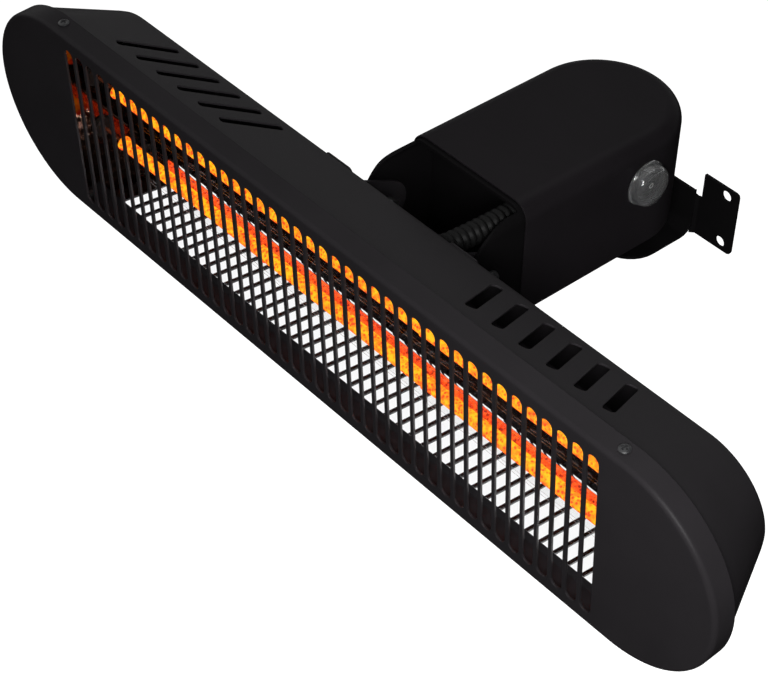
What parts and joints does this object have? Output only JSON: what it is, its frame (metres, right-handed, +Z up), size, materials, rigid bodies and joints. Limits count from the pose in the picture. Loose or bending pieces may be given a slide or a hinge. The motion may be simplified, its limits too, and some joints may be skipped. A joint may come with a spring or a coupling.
{
  "type": "electric bar heater",
  "caption": "wall heater with a long stadium head, slotted front over two glowing quartz tubes and a trough reflector, tilting fork, swivelling arm with a rocker switch, wall bracket",
  "frame": {"origin": "on the wall plane, midway between the two ears of the wall bracket and midway between their fixing holes", "axes": "+X along the heater head, to the right seen from in front; +Y into the wall; +Z up"},
  "size_m": [0.6, 0.2816, 0.1383],
  "materials": {
    "black_coat": "black satin powder coat",
    "black_inside": "black powder coat, duller inside",
    "black_screws": "black oxide",
    "polished_reflector": "mirror polished",
    "plain_steel": "zinc plated",
    "ceramic": "matt",
    "quartz": "clear",
    "element": "glowing",
    "black_plastic": "matt",
    "nylon": "matt",
    "clear_cap": "clear gloss"
  },
  "bodies": {
    "wall_bracket_body": {"wall_bracket": "black_coat", "swivel_boss": "black_coat", "swivel_disc": "nylon", "swivel_bolt": "plain_steel", "swivel_nut": "plain_steel"},
    "arm": {"arm_housing": "black_coat", "arm_base": "black_coat", "tilt_fork": "black_coat", "arm_bulkhead": "black_inside", "arm_gland": "black_plastic", "conduit": "black_plastic", "cord_inlet": "black_plastic", "switch_body": "black_plastic", "switch_cover": "clear_cap", "tilt_bolt_left": "black_screws", "tilt_bolt_right": "black_screws", "tilt_washer_left": "nylon", "tilt_washer_right": "nylon", "tilt_nut_left": "plain_steel", "tilt_nut_right": "plain_steel", "swivel_washer": "plain_steel"},
    "rocker": {"switch_rocker": "black_plastic"},
    "head": {"front_cover": "black_coat", "rear_housing": "black_coat", "head_bracket_left": "black_coat", "head_bracket_right": "black_coat", "cover_screw_top_left": "black_screws", "cover_screw_top_right": "black_screws", "cover_screw_bottom_left": "black_screws", "cover_screw_bottom_right": "black_screws", "bracket_screw_top_left": "black_screws", "bracket_screw_top_right": "black_screws", "bracket_screw_bottom_left": "black_screws", "bracket_screw_bottom_right": "black_screws", "reflector_trough": "polished_reflector", "reflector_end_left": "polished_reflector", "reflector_end_right": "polished_reflector", "lamp_holder_left": "plain_steel", "lamp_holder_right": "plain_steel", "lamp_base_left": "ceramic", "lamp_base_right": "ceramic", "upper_lamp_base_left": "ceramic", "upper_lamp_base_right": "ceramic", "quartz_tube": "quartz", "upper_quartz_tube": "quartz", "heating_element": "element", "upper_heating_element": "element", "head_gland": "black_plastic"}
  },
  "joints": [
    {"name": "swivel", "type": "hinge", "parent": "wall_bracket_body", "child": "arm", "pos_m": [0, -0.0362, -0.008], "axis": [0, 0, 1], "range_deg": [-30, 30]},
    {"name": "tilt", "type": "hinge", "parent": "arm", "child": "head", "pos_m": [0, -0.1861, 0.0432], "axis": [1, 0, 0], "range_deg": [-30, 35], "deforming": ["conduit"]},
    {"name": "switch_rocker", "type": "hinge", "parent": "arm", "child": "rocker", "pos_m": [0.046, -0.0652, 0.0527], "axis": [0, 0.6669, 0.7452], "range_deg": [0, 18]}
  ]
}
